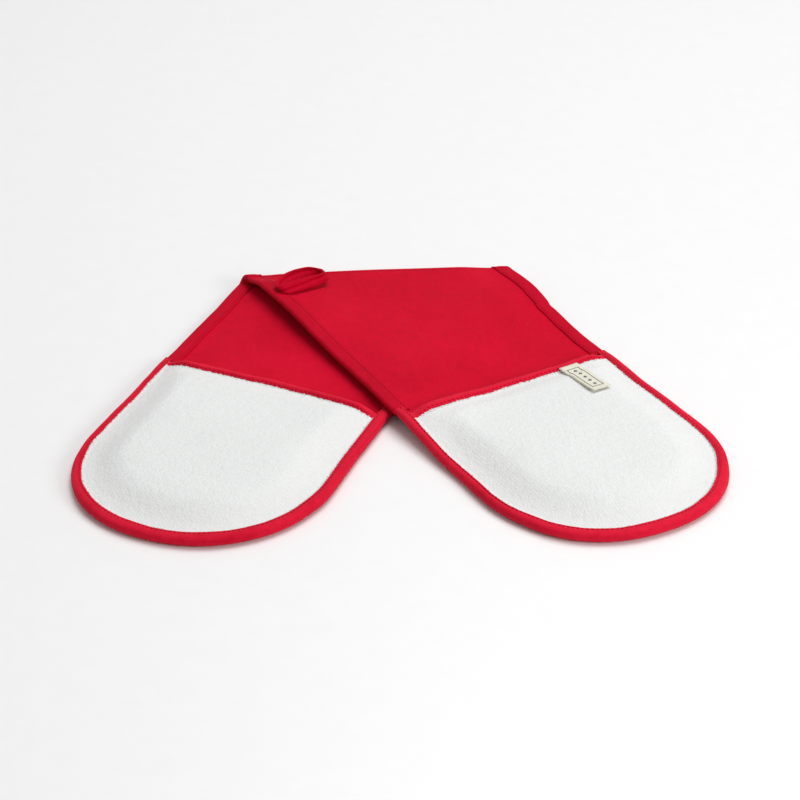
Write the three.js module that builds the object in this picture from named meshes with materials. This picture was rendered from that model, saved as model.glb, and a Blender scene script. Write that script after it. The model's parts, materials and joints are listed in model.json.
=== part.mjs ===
// A double oven glove: a long padded strip, bound all round, with a hand pocket at each end.
// It is folded once on the diagonal and lies on a table. Millimetres, +Z up, +X along the fold,
// +Y from the hand pockets towards the fold.

import * as THREE from 'three';
import { mergeVertices } from 'three/addons/utils/BufferGeometryUtils.js';

// ---------- driving dimensions ----------

const STRIP_WIDTH = 180;
const ARM_ANGLE = THREE.MathUtils.degToRad(25.9); // each arm's slant from the fold's square
const LOWER_LENGTH = 377.5; // fold centre to tip
const UPPER_LENGTH = 392.5;
const POCKET_DEPTH = 198; // tip to pocket mouth
const CAP_DEPTH = 95; // depth of the round end
const CAP_EXPONENT = 2.15; // 2 is an ellipse, more is squarer

const FABRIC = 0.6;
const TERRY = 1.8;
const TERRY_PRESSED = 1; // under the binding
const WADDING_PRESSED = 0.4;
const TAPE = 0.7; // binding and band tape
const GAP = 0.3; // clearance between touching layers
const STRIP_THICKNESS = 4.6; // both fabrics and the wadding
const POCKET_WADDING = 2.2;
const HAND_SPACE = 5.8; // tallest part of a pocket's inside

const BINDING_WIDTH = 11.5; // down the strip's sides
const END_BINDING_WIDTH = 10; // round the hand pockets
const BAND_WIDTH = 8; // pocket mouth band
const LOFT_START = 13; // the padding swells from here, clear of the binding
const LOFT_RUN = 23; // width of the slope up to full padding
const DOME_RUN = 30; // width of the slope up to the tallest hand space
const MOUTH_START = 8.8; // the pocket's padding swells from here, clear of the mouth band
const MOUTH_RUN = 15;

const FOLD_INNER_RADIUS = 2;
const FOLD_SETTLE = 95; // distance over which the fold's loft sinks away
const DRAPE_RUN = 80; // distance over which the upper arm comes down to the table

const LOOP_TAPE_WIDTH = 9;
const LOOP_LENGTH = 34;
const LOOP_SPREAD = 15;
const LOOP_CORNER = 3;

const LABEL_WIDTH = 15;
const LABEL_LENGTH = 40;
const LABEL_OFFSET = 46; // right of the pocket's centre line
const THREAD = 0.6;

// ---------- derived dimensions ----------

const HALF_WIDTH = STRIP_WIDTH / 2;
const SIN = Math.sin(ARM_ANGLE);
const COS = Math.cos(ARM_ANGLE);
const FOLD_OUTER_RADIUS = FOLD_INNER_RADIUS + STRIP_THICKNESS;
const FOLD_MIDDLE_RADIUS = FOLD_INNER_RADIUS + STRIP_THICKNESS / 2;
const HALF_BEND = (Math.PI / 2) * FOLD_MIDDLE_RADIUS; // half the strip's length round the bend
const FOLD_RISE = 2 * FOLD_INNER_RADIUS + STRIP_THICKNESS; // upper arm's underside at the fold
const LAID_RISE = 8.5; // the same where it crosses the corner of the lower pocket
const EDGE_STACK = 2 * FABRIC + 2 * GAP + WADDING_PRESSED; // the strip inside its binding
const EDGE_BOTTOM = (STRIP_THICKNESS - EDGE_STACK) / 2;
const EDGE_TOP = EDGE_BOTTOM + EDGE_STACK;
const WRAP = TAPE + GAP;
const PANEL_STACK = FABRIC + 2 * GAP + WADDING_PRESSED + TERRY_PRESSED; // a pocket in a tape
const POCKET_EDGE_TOP = EDGE_TOP + GAP + PANEL_STACK;
const HEM = 4; // every layer stops this far inside the binding's outer edge
const SEAT = 2.6; // and this far inside a mouth band

// Depths from the outer edge where every layer has a line of points, so that layers keep
// their clearance: hem, start of the padding, end of the mouth band, slope, slope, dome, middle.
const BAND_STOP = 18;
const DEPTHS = [HEM, LOFT_START, BAND_STOP, 27, LOFT_START + LOFT_RUN, 60, HALF_WIDTH];
const COLUMNS = DEPTHS.length - 1;
// The same along an arm: distances from the pocket mouth towards the tip, then shares of the
// way from the mouth to the fold.
const POCKET_ROWS = [66, 42, MOUTH_START + MOUTH_RUN, 15, MOUTH_START, SEAT];
const STRIP_ROWS = [0, 0.2, 0.4, 0.6, 0.8, 1];

const lower = { name: 'lower', side: -1, length: LOWER_LENGTH };
const upper = { name: 'upper', side: 1, length: UPPER_LENGTH };

const RED = '#c4102c';
const DEEP_RED = '#a80a22';
const LIGHT_RED = '#cf1b36';
const TERRY_WHITE = '#ecedee';
const WADDING_WHITE = '#e4e1da';
const LINING_RED = '#b50d27';
const LABEL_CREAM = '#e6dcc4';

// ---------- shape helpers ----------

const mix = THREE.MathUtils.lerp;

function ease(value) {
  return THREE.MathUtils.smoothstep(value, 0, 1);
}

function flipFaces(geometry) {
  const index = geometry.index;
  for (let i = 0; i < index.count; i += 3) {
    const second = index.getX(i + 1);
    index.setX(i + 1, index.getX(i + 2));
    index.setX(i + 2, second);
  }
}

function signedVolume(geometry) {
  const points = geometry.attributes.position;
  const corner = [new THREE.Vector3(), new THREE.Vector3(), new THREE.Vector3()];
  let volume = 0;
  for (let i = 0; i < geometry.index.count; i += 3) {
    corner.forEach((vertex, k) => vertex.fromBufferAttribute(points, geometry.index.getX(i + k)));
    volume += corner[0].dot(corner[1].clone().cross(corner[2])) / 6;
  }
  return volume;
}

// Turns the underside's squares so that they are split along the same diagonals as the top's.
function matchDiagonals(box) {
  const underside = box.groups[5];
  const index = box.index;
  for (let i = underside.start; i < underside.start + underside.count; i += 6) {
    index.setX(i + 2, index.getX(i + 4));
    index.setX(i + 3, index.getX(i));
  }
}

// A box bent into a layer: place(u, v, face) gives a point, with u from -1 to 1 across the
// layer, v from 0 to 1 along it, and face 0 underneath or 1 on top.
function layer(across, along, place) {
  const box = new THREE.BoxGeometry(2, 1, 1, across, along, 1);
  matchDiagonals(box);
  box.deleteAttribute('normal');
  box.deleteAttribute('uv');
  const geometry = mergeVertices(box);
  const points = geometry.attributes.position;
  for (let i = 0; i < points.count; i += 1) {
    const face = points.getZ(i) > 0 ? 1 : 0;
    const spot = place(points.getX(i), points.getY(i) + 0.5, face);
    points.setXYZ(i, spot.x, spot.y, spot.z);
  }
  if (signedVolume(geometry) < 0) flipFaces(geometry);
  geometry.computeVertexNormals();
  return geometry;
}

// Distance from the strip's outer edge to a point s along and t across an arm.
function edgeDistance(arm, s, t) {
  const beyond = Math.max(0, s - (arm.length - CAP_DEPTH));
  const acrossPart = (Math.abs(t) / HALF_WIDTH) ** CAP_EXPONENT;
  const alongPart = (beyond / CAP_DEPTH) ** CAP_EXPONENT;
  return (1 - (acrossPart + alongPart) ** (1 / CAP_EXPONENT)) * HALF_WIDTH;
}

function loft(edge) {
  return ease((edge - LOFT_START) / LOFT_RUN);
}

function undersideOfStrip(edge) {
  return mix(EDGE_BOTTOM, 0, loft(edge));
}

function topOfStrip(edge) {
  return mix(EDGE_TOP, STRIP_THICKNESS, loft(edge));
}

// Height of an arm's resting plane above the table, at a place in the frame.
function armRise(arm, x, y) {
  if (arm === lower) return 0;
  const pastLowerArm = x * COS - y * SIN - HALF_WIDTH;
  const laid = LAID_RISE * (1 - ease((pastLowerArm + 8) / DRAPE_RUN));
  const fromFold = (-HALF_BEND - y) / FOLD_SETTLE;
  return mix(FOLD_RISE, laid, ease(fromFold));
}

// A point s along, t across and h above the resting plane of an arm.
function onArm(arm, s, t, h) {
  const x = arm.side * s * SIN + t * COS;
  const y = -s * COS + arm.side * t * SIN;
  return new THREE.Vector3(x, y, armRise(arm, x, y) + h);
}

// Where the flat part of an arm starts, t across.
function bendLine(arm, t) {
  return (HALF_BEND + arm.side * t * SIN) / COS + GAP;
}

// A point round the bend: t across, turn from 0 at the lower arm to 1 at the upper arm,
// and h above the lower arm's resting plane where the turn is 0.
function onBend(t, turn, h) {
  const flatY = mix(-HALF_BEND, HALF_BEND, turn);
  const radius = FOLD_OUTER_RADIUS - h;
  const angle = turn * Math.PI;
  const x = flatY * Math.tan(ARM_ANGLE) + t / COS;
  const y = -HALF_BEND + radius * Math.sin(angle);
  return new THREE.Vector3(x, y, FOLD_OUTER_RADIUS - radius * Math.cos(angle));
}

// The signed share of the half width at column u, which runs from -1 to 1.
function columnShare(u) {
  const step = Math.round((1 - Math.abs(u)) * COLUMNS);
  return Math.sign(u) * (1 - DEPTHS[step] / HALF_WIDTH);
}

// A point of the round end. A square of sides across and along is bent into the end's
// outline, so that its nested squares follow the outline.
function capPoint(arm, across, along) {
  const size = Math.max(Math.abs(across), along);
  const wide = Math.abs(across) >= along;
  const swing = wide ? along / size : 2 - Math.abs(across) / size;
  const angle = (swing * Math.PI) / 4;
  const power = 2 / CAP_EXPONENT;
  const s = arm.length - CAP_DEPTH + size * CAP_DEPTH * Math.sin(angle) ** power;
  return { s, t: Math.sign(across) * size * HALF_WIDTH * Math.cos(angle) ** power };
}

// A point of a sheet at column u and row v. Rows run round the end, then down the pocket to
// its mouth, then, if the sheet has them, on to the fold.
function sheetPoint(arm, u, v, rowCount) {
  const row = Math.round(v * rowCount);
  const across = columnShare(u);
  if (row < COLUMNS) return capPoint(arm, across, 1 - DEPTHS[row] / HALF_WIDTH);
  const t = across * HALF_WIDTH;
  if (row === COLUMNS) return { s: arm.length - CAP_DEPTH, t };
  const pocketRow = row - COLUMNS - 1;
  if (pocketRow < POCKET_ROWS.length) return { s: mouthOf(arm) + POCKET_ROWS[pocketRow], t };
  const share = STRIP_ROWS[pocketRow - POCKET_ROWS.length];
  return { s: mix(mouthOf(arm) - GAP, bendLine(arm, t), share), t };
}

// ---------- the padded strip ----------

const POCKET_ROW_COUNT = COLUMNS + POCKET_ROWS.length;
const STRIP_ROW_COUNT = POCKET_ROW_COUNT + STRIP_ROWS.length;

function armSheet(arm, surface) {
  return layer(2 * COLUMNS, STRIP_ROW_COUNT, (u, v, face) => {
    const { s, t } = sheetPoint(arm, u, v, STRIP_ROW_COUNT);
    return onArm(arm, s, t, surface(edgeDistance(arm, s, t), face));
  });
}

function bendSheet(surface) {
  return layer(2 * COLUMNS, 6, (u, v, face) => {
    const t = columnShare(u) * HALF_WIDTH;
    return onBend(t, v, surface(HALF_WIDTH - Math.abs(t), face));
  });
}

const bottomFabric = (edge, face) => undersideOfStrip(edge) + face * FABRIC;
const topFabric = (edge, face) => topOfStrip(edge) - (1 - face) * FABRIC;

function stripWadding(edge, face) {
  const clearance = FABRIC + GAP;
  return face ? topOfStrip(edge) - clearance : undersideOfStrip(edge) + clearance;
}

// ---------- bindings ----------

// The section of a tape folded over an edge: u runs from the lower lip round to the upper
// lip. It gives the depth in from the outer edge and the height above the tape's middle.
function wrapSection(u, face, halfThickness, width) {
  const turnShare = 0.5;
  const radius = halfThickness - (1 - face) * TAPE;
  if (Math.abs(u) < turnShare) {
    const angle = (u / turnShare) * (Math.PI / 2);
    return { depth: halfThickness - radius * Math.cos(angle), height: radius * Math.sin(angle) };
  }
  const lip = (Math.abs(u) - turnShare) / (1 - turnShare);
  return { depth: mix(halfThickness, width, lip), height: Math.sign(u) * radius };
}

const STRIP_WRAP = (EDGE_STACK + 2 * WRAP) / 2;
const POCKET_WRAP = (POCKET_EDGE_TOP - EDGE_BOTTOM + 2 * WRAP) / 2;
const BAND_WRAP = (PANEL_STACK + 2 * WRAP) / 2;
const STRIP_WRAP_HEIGHT = STRIP_THICKNESS / 2;
const POCKET_WRAP_HEIGHT = (POCKET_EDGE_TOP + EDGE_BOTTOM) / 2;

function mouthOf(arm) {
  return arm.length - POCKET_DEPTH;
}

function armBinding(arm, hand) {
  return layer(8, STRIP_ROWS.length - 1, (u, v, face) => {
    const { depth, height } = wrapSection(u, face, STRIP_WRAP, BINDING_WIDTH);
    const t = hand * (HALF_WIDTH - depth);
    const s = mix(mouthOf(arm) - GAP, bendLine(arm, t), v);
    return onArm(arm, s, t, STRIP_WRAP_HEIGHT + height);
  });
}

function bendBinding(hand) {
  return layer(8, 6, (u, v, face) => {
    const { depth, height } = wrapSection(u, face, STRIP_WRAP, BINDING_WIDTH);
    return onBend(hand * (HALF_WIDTH - depth), v, STRIP_WRAP_HEIGHT + height);
  });
}

// The outline from one mouth corner round the tip to the other, moved in by depth.
function outlinePoint(arm, v, depth) {
  const straightShare = 0.2;
  const capStart = arm.length - CAP_DEPTH;
  const hand = v < 0.5 ? -1 : 1;
  const fromMouth = Math.min(v, 1 - v);
  if (fromMouth < straightShare) {
    const s = mix(mouthOf(arm), capStart, fromMouth / straightShare);
    return { s, t: hand * (HALF_WIDTH - depth) };
  }
  const angle = ((fromMouth - straightShare) / (0.5 - straightShare)) * (Math.PI / 2);
  const size = 1 - depth / HALF_WIDTH;
  const width = HALF_WIDTH * size * Math.cos(angle) ** (2 / CAP_EXPONENT);
  return { s: capStart + CAP_DEPTH * size * Math.sin(angle) ** (2 / CAP_EXPONENT), t: hand * width };
}

function endBinding(arm) {
  return layer(8, 30, (u, v, face) => {
    const { depth, height } = wrapSection(u, face, POCKET_WRAP, END_BINDING_WIDTH);
    const { s, t } = outlinePoint(arm, v, depth);
    return onArm(arm, s, t, POCKET_WRAP_HEIGHT + height);
  });
}

// ---------- pockets ----------

function pocketLoft(arm, s, t) {
  const fromMouth = s - mouthOf(arm);
  return loft(edgeDistance(arm, s, t)) * ease((fromMouth - MOUTH_START) / MOUTH_RUN);
}

function handSpaceTop(arm, s, t) {
  const edge = edgeDistance(arm, s, t);
  const climb = THREE.MathUtils.clamp((edge - LOFT_START) / DOME_RUN, 0, 1);
  return topOfStrip(edge) + GAP + HAND_SPACE * Math.sin((climb * Math.PI) / 2);
}

function liningSurface(arm, s, t, face) {
  return handSpaceTop(arm, s, t) + face * FABRIC;
}

function pocketWaddingThickness(arm, s, t) {
  return mix(WADDING_PRESSED, POCKET_WADDING, pocketLoft(arm, s, t));
}

function pocketWaddingSurface(arm, s, t, face) {
  const thickness = pocketWaddingThickness(arm, s, t);
  return handSpaceTop(arm, s, t) + FABRIC + GAP + face * thickness;
}

function terrySurface(arm, s, t, face) {
  const underside = pocketWaddingSurface(arm, s, t, 1) + GAP;
  return underside + face * mix(TERRY_PRESSED, TERRY, pocketLoft(arm, s, t));
}

function pocketSheet(arm, surface) {
  return layer(2 * COLUMNS, POCKET_ROW_COUNT, (u, v, face) => {
    const { s, t } = sheetPoint(arm, u, v, POCKET_ROW_COUNT);
    return onArm(arm, s, t, surface(arm, s, t, face));
  });
}

// The mouth band uses the sheets' own columns, as far out as the end bindings allow.
function mouthBand(arm) {
  const skipped = DEPTHS.indexOf(BAND_STOP) / COLUMNS;
  const used = 2 * (COLUMNS - DEPTHS.indexOf(BAND_STOP));
  return layer(8, used, (u, v, face) => {
    const { depth, height } = wrapSection(u, face, BAND_WRAP, BAND_WIDTH);
    const t = columnShare(mix(skipped - 1, 1 - skipped, v)) * HALF_WIDTH;
    const s = mouthOf(arm) + depth;
    return onArm(arm, s, t, handSpaceTop(arm, s, t) + PANEL_STACK / 2 + height);
  });
}

// ---------- loop, label and stitching ----------

// A rounded rectangle standing on the strip just inside its left binding.
function loopPath() {
  const path = new THREE.Path();
  const near = LOOP_SPREAD / 2;
  path.moveTo(0, -GAP);
  path.lineTo(0, LOOP_CORNER - near);
  path.quadraticCurveTo(0, -near, LOOP_CORNER, -near);
  path.lineTo(LOOP_LENGTH - near, -near);
  path.quadraticCurveTo(LOOP_LENGTH, -near, LOOP_LENGTH, 0);
  path.quadraticCurveTo(LOOP_LENGTH, near, LOOP_LENGTH - near, near);
  path.lineTo(LOOP_CORNER, near);
  path.quadraticCurveTo(0, near, 0, near - LOOP_CORNER);
  path.lineTo(0, GAP);
  return path;
}

const LOOP_CENTRE_S = 1;
const LOOP_ROOT_T = BINDING_WIDTH + 4 - HALF_WIDTH;

function hangingLoop() {
  const path = loopPath();
  const thickness = 1.2;
  const base = 2 * FOLD_OUTER_RADIUS + GAP;
  return layer(2, 40, (u, v, face) => {
    const spot = path.getPointAt(v);
    const tangent = path.getTangentAt(v);
    const offset = (face - 0.5) * thickness;
    const t = LOOP_ROOT_T + spot.x - tangent.y * offset;
    const s = LOOP_CENTRE_S + spot.y + tangent.x * offset;
    const point = onArm(upper, s, t, 0);
    point.z = base + ((u + 1) / 2) * LOOP_TAPE_WIDTH;
    return point;
  });
}

// A label folded double, hanging from under the mouth band over the terry.
function label() {
  const halfFold = 0.7;
  const rootInset = BAND_WIDTH + 3 * GAP;
  return layer(2, 12, (u, v, face) => {
    const endShare = 0.3;
    const along = Math.abs(v - 0.5) * 2;
    const way = Math.sign(v - 0.5);
    const radius = halfFold - (1 - face) * halfFold * 0.7;
    const turning = along < endShare;
    const angle = (Math.min(along / endShare, 1) * Math.PI) / 2;
    const reach = turning
      ? LABEL_LENGTH + radius * Math.cos(angle)
      : mix(LABEL_LENGTH, 0, (along - endShare) / (1 - endShare));
    const s = mouthOf(upper) + rootInset + reach;
    const t = LABEL_OFFSET + (u * LABEL_WIDTH) / 2;
    const cloth = terrySurface(upper, s, t, 1) + 3 * GAP + halfFold;
    return onArm(upper, s, t, cloth + way * radius * Math.sin(angle));
  });
}

// A row of stitching: a thin bead on a line of points from spot(v).
function stitchRow(steps, spot) {
  return layer(1, steps, (u, v, face) => {
    const { arm, s, t, h, aside } = spot(v);
    const shift = (u * THREAD) / 2;
    return onArm(arm, s + shift * aside.s, t + shift * aside.t, h + GAP + face * THREAD);
  });
}

function armBindingStitch(arm, hand) {
  const t = hand * (HALF_WIDTH - BINDING_WIDTH + 2);
  const h = STRIP_WRAP_HEIGHT + STRIP_WRAP;
  return stitchRow(STRIP_ROWS.length - 1, (v) => {
    const s = mix(mouthOf(arm) - GAP, bendLine(arm, t), v);
    return { arm, s, t, h, aside: { s: 0, t: 1 } };
  });
}

function endBindingStitch(arm) {
  const inset = END_BINDING_WIDTH - 2;
  return stitchRow(30, (v) => {
    const here = outlinePoint(arm, v, inset);
    const inside = outlinePoint(arm, v, inset + 1);
    const h = POCKET_WRAP_HEIGHT + POCKET_WRAP;
    return { arm, s: here.s, t: here.t, h, aside: { s: inside.s - here.s, t: inside.t - here.t } };
  });
}

function mouthBandStitch(arm) {
  const s = mouthOf(arm) + BAND_WIDTH - 1.5;
  const skipped = DEPTHS.indexOf(BAND_STOP) / COLUMNS;
  return stitchRow(2 * (COLUMNS - DEPTHS.indexOf(BAND_STOP)), (v) => {
    const t = columnShare(mix(skipped - 1, 1 - skipped, v)) * HALF_WIDTH;
    const h = handSpaceTop(arm, s, t) + PANEL_STACK / 2 + BAND_WRAP;
    return { arm, s, t, h, aside: { s: 1, t: 0 } };
  });
}

// ---------- assembly ----------

const glove = new THREE.Group();

function addPiece(name, geometry, color, roughness) {
  const material = new THREE.MeshStandardMaterial({ color, roughness, metalness: 0 });
  const mesh = new THREE.Mesh(geometry, material);
  mesh.name = name;
  glove.add(mesh);
}

function addArm(arm) {
  const faceSurface = arm === upper ? topFabric : bottomFabric;
  const backSurface = arm === upper ? bottomFabric : topFabric;
  addPiece(`${arm.name}_face_fabric`, armSheet(arm, faceSurface), RED, 0.85);
  addPiece(`${arm.name}_wadding`, armSheet(arm, stripWadding), WADDING_WHITE, 1);
  addPiece(`${arm.name}_back_fabric`, armSheet(arm, backSurface), RED, 0.85);
  for (const [word, hand] of [['left', -1], ['right', 1]]) {
    addPiece(`${arm.name}_binding_${word}`, armBinding(arm, hand), DEEP_RED, 0.8);
    addPiece(`${arm.name}_binding_stitch_${word}`, armBindingStitch(arm, hand), DEEP_RED, 0.7);
  }
}

function addPocket(arm) {
  const name = `${arm.name}_pocket`;
  addPiece(`${name}_lining`, pocketSheet(arm, liningSurface), LINING_RED, 0.9);
  addPiece(`${name}_wadding`, pocketSheet(arm, pocketWaddingSurface), WADDING_WHITE, 1);
  addPiece(`${name}_terry`, pocketSheet(arm, terrySurface), TERRY_WHITE, 1);
  addPiece(`${name}_mouth_band`, mouthBand(arm), LIGHT_RED, 0.8);
  addPiece(`${name}_mouth_stitch`, mouthBandStitch(arm), DEEP_RED, 0.7);
  addPiece(`${arm.name}_end_binding`, endBinding(arm), LIGHT_RED, 0.8);
  addPiece(`${arm.name}_end_stitch`, endBindingStitch(arm), DEEP_RED, 0.7);
}

function addFold() {
  addPiece('fold_face_fabric', bendSheet(bottomFabric), RED, 0.85);
  addPiece('fold_wadding', bendSheet(stripWadding), WADDING_WHITE, 1);
  addPiece('fold_back_fabric', bendSheet(topFabric), RED, 0.85);
  addPiece('fold_binding_left', bendBinding(-1), DEEP_RED, 0.8);
  addPiece('fold_binding_right', bendBinding(1), DEEP_RED, 0.8);
}

addArm(lower);
addArm(upper);
addPocket(lower);
addPocket(upper);
addFold();
addPiece('hanging_loop', hangingLoop(), RED, 0.8);
addPiece('label', label(), LABEL_CREAM, 0.9);

// The origin is under the middle of the whole object, on the table.
const extent = new THREE.Box3().setFromObject(glove);
const middle = extent.getCenter(new THREE.Vector3());
glove.position.set(-middle.x, -middle.y, -extent.min.z);

export default glove;
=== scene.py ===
"""A double oven glove folded once on the diagonal: its cloth, terry, bindings, stitching, loop and
label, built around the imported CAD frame. Lengths are in millimetres until place() puts a point in
the row frame, in metres."""

import json
import math
from functools import partial

import bpy
import numpy as np
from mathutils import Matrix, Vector


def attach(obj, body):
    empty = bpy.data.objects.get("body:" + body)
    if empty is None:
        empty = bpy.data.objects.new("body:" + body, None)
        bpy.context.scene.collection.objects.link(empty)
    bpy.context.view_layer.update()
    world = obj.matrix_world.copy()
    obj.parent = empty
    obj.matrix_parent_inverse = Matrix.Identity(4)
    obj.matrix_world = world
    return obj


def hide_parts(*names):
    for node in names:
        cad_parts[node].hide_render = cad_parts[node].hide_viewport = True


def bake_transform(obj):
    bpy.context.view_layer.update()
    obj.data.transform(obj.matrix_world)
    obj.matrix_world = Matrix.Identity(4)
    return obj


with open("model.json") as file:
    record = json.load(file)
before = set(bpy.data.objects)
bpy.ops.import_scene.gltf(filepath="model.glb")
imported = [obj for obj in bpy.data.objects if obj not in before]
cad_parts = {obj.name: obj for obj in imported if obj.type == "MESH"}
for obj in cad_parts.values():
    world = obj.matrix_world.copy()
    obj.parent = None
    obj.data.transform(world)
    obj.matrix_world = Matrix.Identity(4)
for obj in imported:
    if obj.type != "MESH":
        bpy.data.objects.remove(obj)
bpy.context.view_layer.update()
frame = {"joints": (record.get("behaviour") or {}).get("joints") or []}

# ---------- driving dimensions, the same as the CAD model's ----------

STRIP_WIDTH = 180.0
ARM_ANGLE = math.radians(25.9)  # each arm's slant from the fold's square
LOWER_LENGTH = 377.5  # fold centre to tip
UPPER_LENGTH = 392.5
POCKET_DEPTH = 198.0  # tip to pocket mouth
CAP_DEPTH = 95.0  # depth of the round end
CAP_EXPONENT = 2.15

FABRIC = 0.6
TAPE = 0.8
GAP = 0.3  # clearance between touching layers
STRIP_THICKNESS = 4.6
POCKET_WADDING = 2.2
WADDING_PRESSED = 0.4
TERRY = 1.8
TERRY_PRESSED = 1.0
HAND_SPACE = 5.2  # tallest part of a pocket's inside
MOUTH_SPACE = 3.4  # its height at the mouth

SIDE_TAPE_WIDTH = 11.5
END_TAPE_WIDTH = 7.8
BAND_WIDTH = 8.0
LOFT_START = 13.0  # the padding swells from here, clear of the binding
LOFT_RUN = 23.0
DOME_START = 9.0  # the hand space opens from here
DOME_RUN = 44.0
MOUTH_DOME_RUN = 15.0  # the space opens more steeply at the mouth
MOUTH_START = 8.8
MOUTH_RUN = 15.0

BEND_RADIUS = 6.0  # outside of the fold
FOLD_SETTLE = 95.0  # distance over which the fold's loft sinks away
LAID_RISE = 8.5  # upper arm's height where it crosses the lower pocket's corner
LAID_OFFSET = 8.0
DRAPE_RUN = 80.0  # distance over which the upper arm comes down to the table
FOLD_MARGIN = 1.2  # flat cloth that belongs to the fold's pieces, on each side of the bend
FOLD_PADDING_INSET = 1.5  # the padding keeps this far from the bend's two faces

LABEL_WIDTH = 15.0
LABEL_LENGTH = 40.0
LABEL_OFFSET = 46.0  # right of the pocket's centre line
LABEL_SLANT = 0.04
MARK_RISE = 0.14  # the label's woven frame and diamonds stand up this much

# ---------- stitches, tapes and the spacing of points ----------

STITCH_LENGTH = 2.5
STITCH_PITCH = 3.4
THREAD_RADIUS = 0.3
THREAD_SIDES = 6
STITCH_RISE = np.array([-0.35, 0.1, 0.2, 0.1, -0.35]) / 1000
STITCH_RADII = np.array([0.5, 0.95, 1.0, 0.95, 0.5]) * THREAD_RADIUS / 1000
SIDE_INSET = 2.0  # a seam's distance in from its tape's lip
END_INSET = 1.7
BAND_INSET = 1.2
BAND_PINCH = 1.1  # the mouth band is drawn in this far from its lip
BAND_REACH = 83.0  # the mouth band's ends are tucked under the end binding
SIDE_PUFF, END_PUFF, BAND_PUFF = 0.1, 0.35, 1.5  # how round a tape's upper and lower faces are
SECTION_POINTS = 29  # points across a tape, on each of its faces
CLOTH_DEPTHS = np.concatenate(
    [[4, 6, 8], np.arange(10, 40, 2.5), np.arange(41, 66, 4), [69, 75, 82, 90]]
)
TERRY_DEPTHS = np.concatenate([[4.0], np.linspace(6.5, 90, 64)])
ROW_STEP = 3.2
TERRY_ROW_STEP = 1.35
LOOP_SPACING = 0.8  # along the rows of single terry loops

# ---------- how the glove lies and how its edges wander ----------

HEAVE_BROAD = 0.3
HEAVE_FINE = 0.1
SWAY_BROAD = 0.7
SWAY_FINE = 0.2
FOLD_FLARE = 3.7  # the right edge bulges this much beside the fold
FOLD_BULGE = 1.1  # and this much more a little further on
KINK = 0.9  # a small notch pulled into the upper arm's right edge
KINK_PLACE = 112.0
EDGE_LIFT = 5.2  # the upper arm's left edge stands up this much near the fold
EDGE_LIFT_WIDTH = 60.0
SWEEP_PLACES = (-84, -60, -30, 0, 46, 62, 84)  # where Arm.mouth_sweep is given, across the arm

# ---------- derived dimensions ----------

HALF_WIDTH = STRIP_WIDTH / 2
SIN, COS, TAN = math.sin(ARM_ANGLE), math.cos(ARM_ANGLE), math.tan(ARM_ANGLE)
HALF_BEND = math.pi / 2 * (BEND_RADIUS - STRIP_THICKNESS / 2)
FOLD_RISE = 2 * BEND_RADIUS - STRIP_THICKNESS
EDGE_STACK = 2 * FABRIC + 2 * GAP + WADDING_PRESSED
EDGE_BOTTOM = (STRIP_THICKNESS - EDGE_STACK) / 2
EDGE_TOP = EDGE_BOTTOM + EDGE_STACK
PANEL_STACK = FABRIC + 2 * GAP + WADDING_PRESSED + TERRY_PRESSED
POCKET_EDGE_TOP = EDGE_TOP + GAP + PANEL_STACK
SIDE_WRAP = EDGE_STACK / 2 + 1.0  # half the height of a binding, and of the others below
END_WRAP = (POCKET_EDGE_TOP - EDGE_BOTTOM) / 2 + 1.0
BAND_WRAP = PANEL_STACK / 2 + 1.0
SIDE_MIDDLE = STRIP_THICKNESS / 2
END_MIDDLE = (POCKET_EDGE_TOP + EDGE_BOTTOM) / 2

# The fold's line is where the CAD frame has its hinge.
hinges = {joint["name"]: joint for joint in frame["joints"]}
FOLD_X, FOLD_Y, _ = hinges["fold_hinge"]["pos_m"]


class Arm:
    """One arm of the glove, from the fold to the tip of its pocket."""

    def __init__(self, name, side, length, mouth_sweep, tucks, pull, seed):
        self.name = name
        self.body = name + "_arm"
        self.side = side
        self.length = length
        self.cap_start = length - CAP_DEPTH  # the round end starts here
        self.mouth = length - POCKET_DEPTH
        self.mouth_sweep = mouth_sweep  # the mouth's shift towards the tip, from left to right
        self.tucks = {-1: tucks[0], 1: tucks[1]}  # how far the end binding runs past the mouth
        self.pull = pull  # the left edge is drawn in this much beside the pocket
        self.seed = seed


LOWER = Arm("lower", -1, LOWER_LENGTH, (-5.0, -1.5, -0.5, 0.3, 3.2, 5.0, 8.0), (8, 2.5), 0.0, 1.7)
UPPER = Arm("upper", 1, UPPER_LENGTH, (4.5, 3.4, 0.6, -1.2, -1.0, -2.6, -6.0), (3, 9), 2.2, 4.1)


# ---------- the shape of the strip ----------


def ease(value):
    value = np.clip(value, 0, 1)
    return value * value * (3 - 2 * value)


def mix(a, b, share):
    return a + (b - a) * share


def bell(value, middle, width):
    """1 at the middle, falling away smoothly on both sides."""
    return np.exp(-(((value - middle) / width) ** 2))


def waves(value, seed, length):
    """A smooth irregular line between about -1 and 1, with bumps of roughly that length."""
    phase = value / length * 2 * math.pi
    first = np.sin(phase + seed * 5.1)
    second = np.sin(phase * 0.613 + seed * 9.7 + 1.3)
    third = np.sin(phase * 1.731 + seed * 3.3 + 0.4)
    return (first + second + 0.6 * third) / 2.2


def edge_distance(arm, s, t):
    """Distance in from the arm's outline, by its nested superellipses."""
    beyond = np.maximum(0, s - arm.cap_start)
    across = (np.abs(t) / HALF_WIDTH) ** CAP_EXPONENT
    along = (beyond / CAP_DEPTH) ** CAP_EXPONENT
    return (1 - (across + along) ** (1 / CAP_EXPONENT)) * HALF_WIDTH


def loft(edge):
    return ease((edge - LOFT_START) / LOFT_RUN)


def strip_bottom(edge):
    return mix(EDGE_BOTTOM, 0, loft(edge))


def strip_top(edge):
    return mix(EDGE_TOP, STRIP_THICKNESS, loft(edge))


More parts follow.
